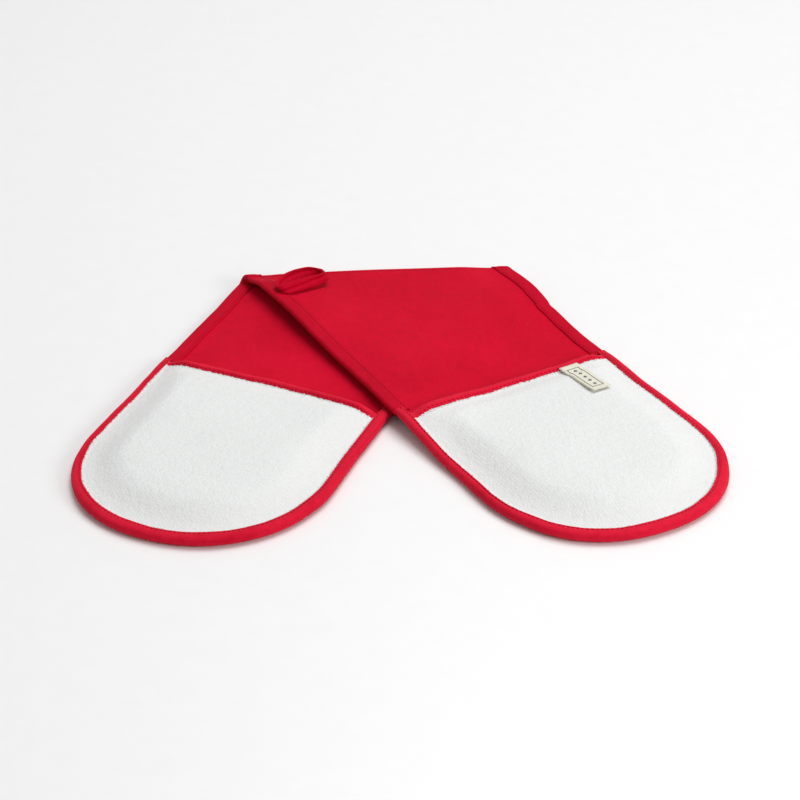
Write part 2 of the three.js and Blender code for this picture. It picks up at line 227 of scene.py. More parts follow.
def rise_of(arm, x, y):
    """Height of an arm's resting plane above the table."""
    if arm is LOWER:
        return np.zeros_like(x)
    past_lower_arm = x * COS - y * SIN - HALF_WIDTH + LAID_OFFSET
    laid = LAID_RISE * (1 - ease(past_lower_arm / DRAPE_RUN))
    return mix(FOLD_RISE, laid, ease((-HALF_BEND - y) / FOLD_SETTLE))


def heave(x, y):
    """The soft unevenness of the whole glove as it lies, the same for every layer at one place."""
    broad = 1 + np.sin(x / 27 + 0.9) * np.cos(y / 34 - 0.6)
    fine = 1 + np.sin(x / 13.5 + y / 19 + 2.2)
    return HEAVE_BROAD * broad + HEAVE_FINE * fine


def edge_lift(arm, s, t):
    """How far the upper arm's left edge stands up from its plane, just past the fold."""
    if arm is LOWER:
        return np.zeros_like(s)
    past_fold = s - bend_line(arm, t)
    along = ease(past_fold / 24) * (1 - ease((past_fold - 50) / 110))
    return EDGE_LIFT * along * (1 - ease((t + HALF_WIDTH) / EDGE_LIFT_WIDTH))


def mouth_at(arm, t):
    """Where the pocket's mouth is, which does not run quite square across the arm."""
    return arm.mouth + np.interp(t, SWEEP_PLACES, arm.mouth_sweep)


def sway(arm, s, t):
    """How far the hand-cut, hand-sewn edges wander from straight."""
    wander = ease((s - 50) / 60)
    left = waves(s, arm.seed, 118) * SWAY_BROAD + waves(s, arm.seed + 2, 37) * SWAY_FINE
    right = waves(s, arm.seed + 5, 104) * SWAY_BROAD + waves(s, arm.seed + 7, 41) * SWAY_FINE
    right = right * wander + FOLD_FLARE * (1 - ease((s - 60) / 135))
    right = right + FOLD_BULGE * ease((s - 50) / 15) * bell(s, 80, 20)
    if arm is UPPER:
        right = right - KINK * bell(s, KINK_PLACE, 4)
    left = left + arm.pull * bell(s, arm.length - 100, 60)
    share = (t / HALF_WIDTH + 1) / 2
    return mix(left * wander, right, share)


def to_frame(x, y, z):
    lifted = z + heave(x, y)
    return np.stack([FOLD_X + x / 1000, FOLD_Y + y / 1000, lifted / 1000], axis=-1)


def place(arm, s, t, h):
    """A point s along an arm, t across it and h above its resting plane, in the row frame."""
    s, t, h = np.broadcast_arrays(np.asarray(s, float), t, h)
    h = h + edge_lift(arm, s, t)
    shift = sway(arm, s, t)
    away = ease((s - bend_line(arm, t)) / 60)  # at the fold, the edges wander along its line
    x = arm.side * s * SIN + t * COS + shift * mix(1 / COS, COS, away)
    y = -s * COS + arm.side * SIN * (t + shift * away)
    return to_frame(x, y, rise_of(arm, x, y) + h)


def place_on_fold(q, t, h):
    """A point of the bend: q along the strip square to the fold, t across, h from the outside."""
    q, t, h = np.broadcast_arrays(np.asarray(q, float), t, h)
    t = t + sway(LOWER, 0.0, t)
    angle = np.clip((q + HALF_BEND) / (2 * HALF_BEND), 0, 1) * math.pi
    radius = BEND_RADIUS - h
    y = -HALF_BEND + radius * np.sin(angle) - np.maximum(0, np.abs(q) - HALF_BEND)
    return to_frame(q * TAN + t / COS, y, BEND_RADIUS - radius * np.cos(angle))


def bend_line(arm, t):
    """Where an arm's pieces start and the fold's end."""
    return (HALF_BEND + FOLD_MARGIN + arm.side * t * SIN) / COS


def round_end(size, angle):
    """A point of the round end's nested superellipses: past the end's start, and across."""
    power = 2 / CAP_EXPONENT
    return CAP_DEPTH * size * np.sin(angle) ** power, HALF_WIDTH * size * np.cos(angle) ** power


def outline(arm, along, depth):
    """A point of the pocket's outline, depth inside it: along is in millimetres from the left
    mouth corner round the tip, and runs straight on past either corner."""
    straight = arm.cap_start - arm.mouth
    along = np.asarray(along, float)
    half = straight + ROUND_LENGTH
    hand = np.where(along < half, -1.0, 1.0)
    run = np.minimum(along, 2 * half - along)
    angle = np.interp(run - straight, ROUND_TABLE, ROUND_ANGLES)
    beyond, across = round_end(1 - depth / HALF_WIDTH, angle)
    on_straight = run < straight
    s = np.where(on_straight, arm.mouth + run, arm.cap_start + beyond)
    t = np.where(on_straight, HALF_WIDTH - depth, across)
    return s, hand * t


def round_table():
    """Distances round half of the round end, and the superellipse's angles there."""
    angles = np.linspace(0, math.pi / 2, 400)
    rise, run = (np.diff(values) for values in round_end(1, angles))
    return np.concatenate([[0], np.cumsum(np.hypot(rise, run))]), angles


ROUND_TABLE, ROUND_ANGLES = round_table()
ROUND_LENGTH = float(ROUND_TABLE[-1])


def outline_length(arm):
    return 2 * (arm.cap_start - arm.mouth + ROUND_LENGTH)


# ---------- mesh helpers ----------


def add_mesh(name, points, faces, material, flat_uv=None):
    """A mesh object from points in the row frame. flat_uv is each point's place on its cloth, in
    millimetres, which the weaves follow."""
    mesh = bpy.data.meshes.new(name)
    mesh.from_pydata(points.reshape(-1, 3).tolist(), [], faces.tolist())
    mesh.validate()
    mesh.shade_smooth()
    mesh.materials.append(material)
    if flat_uv is not None:
        corner = np.zeros(len(mesh.loops), int)
        mesh.loops.foreach_get("vertex_index", corner)
        cloth = flat_uv.reshape(-1, 2)[corner] / 1000
        mesh.uv_layers.new(name="cloth").uv.foreach_set("vector", cloth.ravel())
    piece = bpy.data.objects.new(name, mesh)
    bpy.context.scene.collection.objects.link(piece)
    return piece


def index_grid(rows, columns):
    return np.arange(rows * columns).reshape(rows, columns)


def quads_of(index):
    corners = [index[:-1, :-1], index[:-1, 1:], index[1:, 1:], index[1:, :-1]]
    return np.stack(corners, axis=-1).reshape(-1, 4)


def outward(points, faces):
    """The faces, turned over if the closed mesh would be inside out."""
    points = points.reshape(-1, 3)
    triangles = np.concatenate([faces[:, [0, 1, 2]], faces[:, [0, 2, 3]]])
    a, b, c = (points[triangles[:, k]] for k in range(3))
    volume = (a * np.cross(b, c)).sum()
    return faces if volume > 0 else faces[:, ::-1]


def closed_layer(under, over):
    """Points and faces of a closed layer between two grids of points, rows by columns."""
    index = index_grid(*under.shape[:2])
    count = index.size
    rim = np.concatenate([index[0], index[1:, -1], index[-1, -2::-1], index[-2:0:-1, 0]])
    after = np.roll(rim, -1)
    sides = np.stack([rim, after, after + count, rim + count], axis=-1)
    faces = np.concatenate([quads_of(index)[:, ::-1], quads_of(index) + count, sides])
    points = np.concatenate([under.reshape(-1, 3), over.reshape(-1, 3)])
    return points, outward(points - points.mean(0), faces)


def shell(name, under, over, flat_uv, material):
    """A closed layer of cloth as a piece of its own."""
    return add_mesh(name, *closed_layer(under, over), material, np.stack([flat_uv, flat_uv]))


def tube_faces(rings):
    """Faces of a closed skin over rings of points, stations by points round, and of its ends."""
    stations, around = rings.shape[:2]
    index = index_grid(stations, around)
    low = np.arange(around // 2 - 1)
    cap = np.stack([low, low + 1, around - 2 - low, around - 1 - low], axis=-1)
    last = cap[:, ::-1] + (stations - 1) * around
    sides = quads_of(np.pad(index, ((0, 0), (0, 1)), mode="wrap"))
    return outward(rings, np.concatenate([sides, cap, last]))


def joined(islands):
    """Many small closed islands, each (points, faces), as one set of points and faces."""
    starts = np.cumsum([0] + [len(points) for points, _ in islands[:-1]])
    faces = [made + start for (_, made), start in zip(islands, starts)]
    return np.concatenate([points for points, _ in islands]), np.concatenate(faces)


def join_threads(name, islands, material):
    uv = np.concatenate([thread_uv(len(spots) // THREAD_SIDES) for spots, _ in islands])
    return add_mesh(name, *joined(islands), material, uv)


def thread_uv(stations):
    """Runs along and round a thread made by thread_island."""
    station, around = np.indices((stations, THREAD_SIDES)).reshape(2, -1)
    return np.stack([around / THREAD_SIDES * 2, station * 0.6], axis=-1)


def thread_island(line, radii):
    """A short round thread along a line of points, closed at both ends."""
    tangent = np.gradient(line, axis=0)
    tangent /= np.linalg.norm(tangent, axis=1)[:, None]
    aside = np.cross(tangent, [0.0, 0.0, 1.0])
    aside /= np.maximum(np.linalg.norm(aside, axis=1), 1e-9)[:, None]
    above = np.cross(aside, tangent)
    turn = np.arange(THREAD_SIDES) / THREAD_SIDES * 2 * math.pi
    ring = np.cos(turn)[:, None, None] * aside + np.sin(turn)[:, None, None] * above
    rings = line[:, None] + np.swapaxes(ring, 0, 1) * np.asarray(radii)[:, None, None]
    return rings.reshape(-1, 3), tube_faces(rings - rings.mean((0, 1)))


def settle(piece, body, node):
    """Puts a finished piece on its body in place of its CAD node."""
    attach(piece, body)
    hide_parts(node)
    return piece


# ---------- materials ----------


WHITE = (1.0, 1.0, 1.0)
RED_TINT = (1.0, 0.03, 0.09)
RIM_TINT = (1.0, 0.2, 0.25)


class Nodes:
    """Short ways to add shader nodes to one material."""

    def __init__(self, name):
        self.material = bpy.data.materials.new(name)
        self.material.use_nodes = True
        self.tree = self.material.node_tree
        self.shader = self.tree.nodes["Principled BSDF"]

    def add(self, kind, inputs=None, **settings):
        node = self.tree.nodes.new(kind)
        for key, value in settings.items():
            setattr(node, key, value)
        for key, value in (inputs or {}).items():
            self.put(node.inputs[key], value)
        return node

    def put(self, socket, value):
        """Sets a socket to a number, a vector or a colour, or links another node's output to it."""
        if isinstance(value, (int, float)):
            socket.default_value = value
        elif isinstance(value, tuple):
            socket.default_value = (*value, 1)[: len(socket.default_value)]
        else:
            self.tree.links.new(value, socket)

    def cloth_place(self, scale, turn=0.0):
        """Cloth coordinates, from metres to the pattern's own size."""
        uv = self.add("ShaderNodeUVMap", uv_map="cloth").outputs["UV"]
        inputs = {"Scale": scale, "Rotation": (0, 0, turn), "Vector": uv}
        return self.add("ShaderNodeMapping", inputs).outputs["Vector"]

    def solid_place(self):
        return self.add("ShaderNodeTexCoord").outputs["Object"]

    def noise(self, place, scale, detail=3.0, roughness=0.55):
        inputs = {"Scale": scale, "Detail": detail, "Roughness": roughness, "Vector": place}
        return self.add("ShaderNodeTexNoise", inputs).outputs["Fac"]

    def bands(self, place, direction="X", distortion=0.0):
        inputs = {"Scale": 1.0, "Distortion": distortion, "Detail": 1.0, "Vector": place}
        settings = {"wave_type": "BANDS", "bands_direction": direction}
        return self.add("ShaderNodeTexWave", inputs, **settings).outputs["Fac"]

    def math(self, operation, *values):
        inputs = dict(enumerate(values))
        return self.add("ShaderNodeMath", inputs, operation=operation).outputs["Value"]

    def base_and(self, base, value, share):
        return self.math("ADD", base, self.math("MULTIPLY", value, share))

    def weighed(self, *parts):
        """The sum of several values, each times its own share."""
        total = None
        for value, share in parts:
            part = self.math("MULTIPLY", value, share)
            total = part if total is None else self.math("ADD", total, part)
        return total

    def ramp(self, value, low, dark, high, light):
        """A colour from dark, at the value low, to light, at the value high."""
        node = self.add("ShaderNodeValToRGB", {"Fac": value})
        for element, spot, colour in zip(node.color_ramp.elements, (low, high), (dark, light)):
            element.position = spot
            element.color = (*colour, 1)
        return node.outputs["Color"]

    def times(self, colour, value):
        inputs = {0: 1.0, 6: colour, 7: value}
        settings = {"data_type": "RGBA", "blend_type": "MULTIPLY"}
        return self.add("ShaderNodeMix", inputs, **settings).outputs[2]

    def bump(self, height, distance_mm, strength=1.0, after=None):
        inputs = {"Distance": distance_mm / 1000, "Strength": strength, "Height": height}
        if after is not None:
            inputs["Normal"] = after
        return self.add("ShaderNodeBump", inputs).outputs["Normal"]

    def finish(self, colour, roughness, normal, sheen, specular, tint=WHITE, sheen_roughness=0.5):
        sockets = {
            "Base Color": colour,
            "Roughness": roughness,
            "Normal": normal,
            "Sheen Weight": sheen,
            "Sheen Roughness": sheen_roughness,
            "Specular IOR Level": specular,
            "Sheen Tint": tint,
            "Specular Tint": tint,
        }
        for name, value in sockets.items():
            self.put(self.shader.inputs[name], value)
        return self.material


# The wave texture makes one band in pi/10 of its own units.
BAND_UNIT = math.pi / 10


def pitch(millimetres):
    """The mapping scale that gives bands of this width from coordinates in metres."""
    return BAND_UNIT * 1000 / millimetres


def woven(name, tones, warp_mm, weft_mm, twill, sheen, bump_mm, tint=RED_TINT):
    """A woven cotton: warp and weft or a twill's diagonal, uneven dye, and pressed high spots."""
    n = Nodes(name)
    turn = math.radians(38) if twill else 0.0
    weave_place = n.cloth_place((pitch(warp_mm), pitch(weft_mm), 1), turn)
    ribs = n.bands(weave_place, "X", 0.35)
    picks = n.bands(weave_place, "Y", 0.35)
    weave = n.math("MULTIPLY", ribs, n.math("MULTIPLY_ADD", picks, 0.5, 0.5))
    place = n.solid_place()
    broad = n.noise(place, 14, 2.0)
    mottle = n.noise(place, 170, 3.0, 0.6)
    slub = n.noise(n.cloth_place((900, 90, 1)), 1.0, 2.0)
    tone = n.weighed((broad, 0.45), (mottle, 0.35), (slub, 0.2))
    colour = n.ramp(tone, 0.36, tones[0], 0.64, tones[1])
    # The weave also darkens the colour by up to 7% between its threads: painted shade.
    colour = n.times(colour, n.base_and(0.93, weave, 0.07))
    rough = n.base_and(0.66, mottle, 0.2)
    normal = n.bump(weave, bump_mm, 0.9)
    normal = n.bump(n.noise(place, 420, 2.0), 0.12, 0.6, normal)
    return n.finish(colour, rough, normal, sheen=sheen, specular=0.2, tint=tint)


def terry_cloth(name):
    """White loop pile: nubs in rows, with shade between the loops."""
    n = Nodes(name)
    place = n.solid_place()
    nubs = n.add("ShaderNodeTexVoronoi", {"Scale": 620, "Vector": place}, feature="F1")
    clumps = n.noise(place, 210, 3.0, 0.65)
    rows = n.bands(n.cloth_place((pitch(2.1), pitch(1.7), 1)), "X", 1.2)
    broad = n.noise(place, 22, 2.0)
    tone = n.math("SUBTRACT", 1.0, n.math("MULTIPLY", nubs.outputs["Distance"], 0.45))
    tone = n.weighed((tone, 0.55), (clumps, 0.3), (broad, 0.15))
    colour = n.ramp(tone, 0.35, (0.71, 0.725, 0.715), 0.75, (0.81, 0.82, 0.81))
    rough = n.base_and(0.82, clumps, 0.16)
    height = n.math("ADD", n.math("MULTIPLY", nubs.outputs["Distance"], -1.0), clumps)
    normal = n.bump(height, 0.4, 0.5)
    normal = n.bump(rows, 0.12, 0.3, normal)
    return n.finish(colour, rough, normal, sheen=0.35, sheen_roughness=0.7, specular=0.15)


def loop_pile(name):
    """The single loops of yarn that stand out of the terry at its edges."""
    n = Nodes(name)
    twist = n.bands(n.cloth_place((pitch(1.4), pitch(0.9), 1), 0.6), "X", 0.4)
    colour = n.ramp(twist, 0.0, (0.7, 0.705, 0.7), 1.0, (0.84, 0.845, 0.835))
    rough = n.base_and(0.85, twist, 0.1)
    normal = n.bump(twist, 0.12, 0.6)
    return n.finish(colour, rough, normal, sheen=0.3, sheen_roughness=0.7, specular=0.15)


def fibre_fill(name):
    """Bonded wadding: matted fibres in thin drifts."""
    n = Nodes(name)
    fibres = n.noise(n.cloth_place((1600, 160, 1), 0.7), 1.0, 4.0, 0.7)
    drifts = n.noise(n.solid_place(), 120, 4.0, 0.6)
    tone = n.weighed((fibres, 0.5), (drifts, 0.5))
    colour = n.ramp(tone, 0.3, (0.6, 0.58, 0.53), 0.7, (0.82, 0.8, 0.76))
    rough = n.base_and(0.9, fibres, 0.08)
    return n.finish(colour, rough, n.bump(tone, 0.8, 0.7), sheen=0.2, specular=0.1)


def sewing_thread(name, dark, light, tint):
    """Twisted polyester thread."""
    n = Nodes(name)
    twist = n.bands(n.cloth_place((pitch(1.1), pitch(0.5), 1), 0.7), "X", 0.2)
    wear = n.noise(n.solid_place(), 260, 2.0)
    tone = n.weighed((twist, 0.6), (wear, 0.4))
    colour = n.ramp(tone, 0.2, dark, 0.8, light)
    rough = n.base_and(0.42, wear, 0.25)
    return n.finish(colour, rough, n.bump(twist, 0.1, 0.8), sheen=0.1, specular=0.35, tint=tint)


def table_top(name):
    n = Nodes(name)
    grain = n.noise(n.solid_place(), 60, 2.0)
    colour = n.ramp(grain, 0.0, (0.91,) * 3, 1.0, (0.94,) * 3)
    rough = n.base_and(0.3, grain, 0.06)
    return n.finish(colour, rough, n.bump(grain, 0.01, 0.1), sheen=0.0, specular=0.5)


RED = (0.56, 0.0012, 0.018), (0.72, 0.004, 0.03)
BINDING_RED = (0.5, 0.001, 0.016), (0.63, 0.003, 0.026)
# The end and mouth bindings' red is painted lighter than the side binding's, as if the key light
# caught them: painted light.
LIT_RIM_RED = (0.62, 0.003, 0.025), (0.82, 0.012, 0.045)
LINING_RED = (0.4, 0.002, 0.014), (0.55, 0.004, 0.024)
IVORY = (0.76, 0.72, 0.57), (0.88, 0.85, 0.72)

red_cotton = woven("red_cotton", RED, 0.9, 1.3, True, 0.12, 0.16)
red_tape = woven("red_binding_tape", BINDING_RED, 0.55, 0.7, False, 0.08, 0.12)
# The pocket bindings' material: the binding tape with painted light in its lighter red.
red_rim_painted_light = woven("red_pocket_binding", LIT_RIM_RED, 0.55, 0.7, False, 0.2, 0.12, RIM_TINT)
red_lining = woven("red_lining", LINING_RED, 0.6, 0.6, False, 0.1, 0.1)
label_tape = woven("label_tape", IVORY, 0.4, 0.5, False, 0.15, 0.06, WHITE)
white_terry = terry_cloth("white_terry")
white_loops = loop_pile("white_terry_loops")
wadding = fibre_fill("wadding")
# The side seams' thread is dark partly as dark stitching and partly as painted shade in the crease
# along the seam.
red_thread_painted_shade = sewing_thread("red_thread_painted_shade", (0.13, 0.0006, 0.005), (0.26, 0.0015, 0.011), RED_TINT)
# The end, mouth and loop seams' thread is a lighter copy of the seam thread: painted light, to match
# the lit bindings and brighten the loop's rims.
rim_thread_painted_light = sewing_thread("rim_thread_painted_light", (0.36, 0.0015, 0.013), (0.55, 0.004, 0.022), RED_TINT)
grey_thread = sewing_thread("grey_thread", (0.08, 0.085, 0.1), (0.2, 0.21, 0.24), WHITE)
pale_table = table_top("pale_table")


# ---------- cloth grids ----------


def cap_grid(arm, depths):
    """The round end as nested squares bent into its outline, rows by columns."""
    share = 1 - depths / HALF_WIDTH
    across = np.concatenate([-share, share[-2::-1]])
    along = share[:, None]
    size = np.maximum(np.abs(across), along)
    safe = np.maximum(size, 1e-9)
    wide = np.abs(across) >= along
    swing = np.where(wide, along / safe, 2 - np.abs(across) / safe)
    beyond, half = round_end(size, swing * math.pi / 4)
    return arm.cap_start + beyond, np.sign(across) * half, across * HALF_WIDTH


def cloth_grid(arm, depths, end_s, row_step):
    """Places of a sheet from the tip to end_s, which may differ from column to column."""
    cap_s, cap_t, columns = cap_grid(arm, depths)
    end = np.broadcast_to(end_s(columns), columns.shape)
    rows = max(2, int((arm.cap_start - end.min()) / row_step))
    share = np.linspace(0, 1, rows + 1)[1:, None]
    body_s = mix(arm.cap_start, end, share)
    body_t = np.broadcast_to(columns, body_s.shape)
    return np.concatenate([cap_s, body_s]), np.concatenate([cap_t, body_t])


def puckers(s, t, edge, seed):
    """Small pulls in the cloth just inside a seam."""
    along = s + np.abs(t) * 0.35
    line = waves(along, seed, 8.3) * 0.13 + waves(along, seed + 3, 21) * 0.2
    return line * bell(edge, 13.5, 6)


def crumple(s, t, seed):
    """Very low soft waves left in washed cotton."""
    slant = waves(s * 0.8 + t * 0.6, seed, 46) * waves(t * 0.9 - s * 0.3, seed + 1, 58)
    return slant * 0.28


def strip_top_at(arm, s, t):
    edge = edge_distance(arm, s, t)
    relief = (puckers(s, t, edge, arm.seed) + crumple(s, t, arm.seed)) * loft(edge + 8)
    fade = ease((s - bend_line(arm, t)) / 30) * (1 - ease((s - arm.mouth + 16) / 14))
    return strip_top(edge) + relief * fade


def arm_layer(arm, name, node, grid, low, high, material, slot_name):
    """One layer of an arm, from one height to another, in place of its CAD node."""
    s, t, flat_uv = grid
    low, high = place(arm, s, t, low), place(arm, s, t, high)
    piece = shell(f"{arm.name}_{name}", low, high, flat_uv, material)
    return settle(piece, arm.body, f"{arm.name}_{node}")


def make_strip_cloths(arm):
    """The two cotton faces of the strip and the wadding between them."""
    s, t = cloth_grid(arm, CLOTH_DEPTHS, lambda columns: bend_line(arm, columns), ROW_STEP)
    edge = edge_distance(arm, s, t)
    top, bottom = strip_top_at(arm, s, t), strip_bottom(edge)
    grid = (s, t, np.stack([t, arm.side * s], axis=-1))
    lower_word, upper_word = ("back", "face") if arm is UPPER else ("face", "back")

    def cotton(word, low, high):
        names = f"{word}_cloth", f"{word}_fabric"
        return arm_layer(arm, *names, grid, low, high, red_cotton, "red_cotton")

    under = cotton(lower_word, bottom, bottom + FABRIC)
    over = cotton(upper_word, top - FABRIC, top)
    low, high = bottom + FABRIC + GAP, top - FABRIC - GAP
    fill = arm_layer(arm, "padding", "wadding", grid, low, high, wadding, "wadding")
    return under, over, fill


def make_fold_cloths():
    """The same three layers round the bend."""
    q = np.linspace(-1, 1, 33)[:, None] * HALF_BEND
    q = np.concatenate([q[:1] - FOLD_MARGIN, q, q[-1:] + FOLD_MARGIN])
    columns = cap_grid(LOWER, CLOTH_DEPTHS)[2]
    t = np.broadcast_to(columns, (len(q), len(columns)))
    q = np.broadcast_to(q, t.shape)
    edge = HALF_WIDTH - np.abs(t)
    flat_uv = np.stack([t, (q + t * SIN) / COS], axis=-1)
    bottom, top = strip_bottom(edge), strip_top(edge)
    inset = FOLD_PADDING_INSET
    layers = (
        ("face_cloth", "face_fabric", bottom, bottom + FABRIC, red_cotton, "red_cotton"),
        ("padding", "wadding", bottom + inset, top - inset, wadding, "wadding"),
        ("back_cloth", "back_fabric", top - FABRIC, top, red_cotton, "red_cotton"),
    )
    made = []
    for name, node, low, high, material, slot_name in layers:
        low, high = place_on_fold(q, t, low), place_on_fold(q, t, high)
        piece = shell(f"fold_{name}", low, high, flat_uv, material)
        made.append(join_fold(piece, f"fold_{node}"))
    return made


def join_fold(piece, node):
    """A piece of the bend, which turns from the lower arm to the upper arm, baked into the row frame
    in place of its CAD node.
    """
    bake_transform(piece)
    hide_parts(node)
    return piece


# ---------- bindings ----------

SIDE_WORDS = {-1: "left", 1: "right"}


def tape_section(u, face, half, width, inset, puff):
    """The section of a tape folded over an edge. u runs from the lower lip at -1 round the outer
    edge to the upper lip at 1; face is 1 outside and 0 inside. Gives depth from the edge and
    height above the tape's middle."""
    radius = half - (1 - face) * TAPE
    turn = np.clip(np.abs(u) / 0.5, 0, 1) * math.pi / 2
    lip = np.clip((np.abs(u) - 0.5) / 0.5, 0, 1)
    depth = np.where(lip > 0, mix(half, width, lip), half - radius * np.cos(turn))
    arch = np.where(lip > 0, 1 + puff * np.sin(lip * math.pi) / half, np.sin(turn))
    pinch = bell(depth, width - inset, 0.9) * 0.42
    droop = ease((depth - width + 0.7) / 0.7) * 0.12
    height = radius * arch - (pinch + droop) * (lip > 0)
    return depth, np.sign(u) * height


def ring_us():
    """Places round a tape's closed section, outer side first, then back along the inside."""
    us = np.linspace(-1, 1, SECTION_POINTS)
    return np.concatenate([us, us[::-1]]), np.concatenate([np.ones_like(us), np.zeros_like(us)])


def add_tape(name, along, spot, material, width):
    """Sweeps a tape: spot(along, u, face) gives points. along is a column of distances, or a
    grid of them where the ends are cut on the slant."""
    us, faces = ring_us()
    rings = spot(along, us, faces)
    flat_uv = np.stack(np.broadcast_arrays(us * width, along), axis=-1)
    return add_mesh(name, rings, tube_faces(rings), material, flat_uv)


def column(start, stop, count):
    return np.linspace(start, stop, count)[:, None]


def ruck(along, u, seed, size):
    """The small slanting wrinkles of a tape pulled round an edge."""
    slant = along + u * 3.1
    fine = waves(slant, seed, 5.3) * 0.4 + waves(slant * 0.9, seed + 2, 11.7) * 0.6
    return fine * size * (1 - 0.5 * np.abs(u) ** 3)


def taken_up(along):
    """1 where the end binding is pulled narrow, past the left mouth corner, then 0 further round."""
    return 1 - ease((along - 110) / 130)


def end_tape_point(arm, along, u, face):
    """The rolled binding round a hand pocket."""
    total = outline_length(arm)
    from_end = np.minimum(along + arm.tucks[-1], total + arm.tucks[1] - along)
    closing = mix(0.68, 1, ease(from_end / 12))
    half = (END_WRAP + ruck(along, u, arm.seed, 0.1)) * closing
    width = END_TAPE_WIDTH - 1.6 * taken_up(along) + waves(along, arm.seed + 1, 47) * 0.35
    depth, height = tape_section(u, face, half, width, END_INSET, END_PUFF)
    ear = 0.7 * (1 - ease(from_end / 5)) * ease((u - 0.7) / 0.3)
    s, t = outline(arm, along, depth)
    return place(arm, s, t, END_MIDDLE + height + ear)


def plain_side_section(u, face):
    return tape_section(u, face, SIDE_WRAP, SIDE_TAPE_WIDTH, SIDE_INSET, SIDE_PUFF)


def side_tape_section(along, u, face, seed):
    half = SIDE_WRAP + ruck(along, u, seed, 0.05)
    width = SIDE_TAPE_WIDTH + waves(along, seed + 1, 39) * 0.3
    return tape_section(u, face, half, width, SIDE_INSET, SIDE_PUFF)


def side_tape_point(arm, hand, s, u, face):
    """The flat binding down one side of an arm."""
    depth, height = side_tape_section(s, u, face, arm.seed + hand)
    return place(arm, s, hand * (HALF_WIDTH - depth), SIDE_MIDDLE + height)


def fold_tape_point(hand, q, u, face):
    depth, height = plain_side_section(u, face)
    return place_on_fold(q, hand * (HALF_WIDTH - depth), SIDE_MIDDLE + height)


def hand_space_top(arm, s, t):
    edge = edge_distance(arm, s, t)
    inside = ease((s - arm.mouth - BAND_WIDTH) / 80)
    climb = np.clip((edge - DOME_START) / mix(MOUTH_DOME_RUN, DOME_RUN, inside), 0, 1)
    space = mix(MOUTH_SPACE, HAND_SPACE, inside)
    return strip_top(edge) + GAP + space * np.sin(climb * math.pi / 2)


def band_point(arm, t, u, face):
    """The binding over the pocket's mouth edge."""
    half = BAND_WRAP + ruck(t, u, arm.seed + 6, 0.08)
    squeeze = mix(0.5, 1, ease((BAND_REACH + 1 - np.abs(t)) / 14))
    width = BAND_WIDTH + waves(t, arm.seed + 8, 33) * 0.35
    depth, height = tape_section(u, face, half, width, BAND_PINCH, BAND_PUFF)
    s = mouth_at(arm, t) + depth + waves(t, arm.seed + 9, 61) * 0.4
    return place(arm, s, t, hand_space_top(arm, s, t) + PANEL_STACK / 2 + height * squeeze)


def arm_tape(arm, name, node, *sweep):
    piece = add_tape(f"{arm.name}_{name}", *sweep)
    return settle(piece, arm.body, f"{arm.name}_{node}")


def make_end_tape(arm):
    along = column(-arm.tucks[-1], outline_length(arm) + arm.tucks[1], 336)
    spot = partial(end_tape_point, arm)
    return arm_tape(arm, "end_tape", "end_binding", along, spot, red_rim_painted_light, END_TAPE_WIDTH)


def make_side_tape(arm, hand):
    word = SIDE_WORDS[hand]
    depth, _ = plain_side_section(*ring_us())
    start = bend_line(arm, hand * (HALF_WIDTH - depth))
    s = mix(start, arm.mouth - arm.tucks[hand] + 1.5, column(0, 1, 80))
    spot = partial(side_tape_point, arm, hand)
    names = f"side_tape_{word}", f"binding_{word}"
    return arm_tape(arm, *names, s, spot, red_tape, SIDE_TAPE_WIDTH)


def make_fold_tape(hand):
    word = SIDE_WORDS[hand]
    reach = HALF_BEND + FOLD_MARGIN
    spot = partial(fold_tape_point, hand)
    q = column(-reach, reach, 35)
    piece = add_tape(f"fold_side_tape_{word}", q, spot, red_tape, SIDE_TAPE_WIDTH)
    return join_fold(piece, f"fold_binding_{word}")


def make_band(arm):
    t = column(-BAND_REACH, BAND_REACH, 120)
    spot = partial(band_point, arm)
    return arm_tape(arm, "mouth_tape", "pocket_mouth_band", t, spot, red_rim_painted_light, BAND_WIDTH)


# ---------- pockets ----------


def pocket_loft(arm, s, t):
    from_mouth = s - mouth_at(arm, t)
    return loft(edge_distance(arm, s, t)) * ease((from_mouth - MOUTH_START) / MOUTH_RUN)


def padding_top(arm, s, t):
    thickness = mix(WADDING_PRESSED, POCKET_WADDING, pocket_loft(arm, s, t))
    return hand_space_top(arm, s, t) + FABRIC + GAP + thickness


def terry_top(arm, s, t):
    swell = crumple(s, t, arm.seed + 11) * ease((edge_distance(arm, s, t) - 12) / 14)
    thickness = mix(TERRY_PRESSED, TERRY, pocket_loft(arm, s, t))
    return padding_top(arm, s, t) + GAP + thickness + swell


def pile(shape, seed):
    """Uneven tips of the terry's loops: one random height for every point of a grid."""
    draws = np.random.default_rng(seed).random(shape)
    return (draws - 0.35) * 0.34


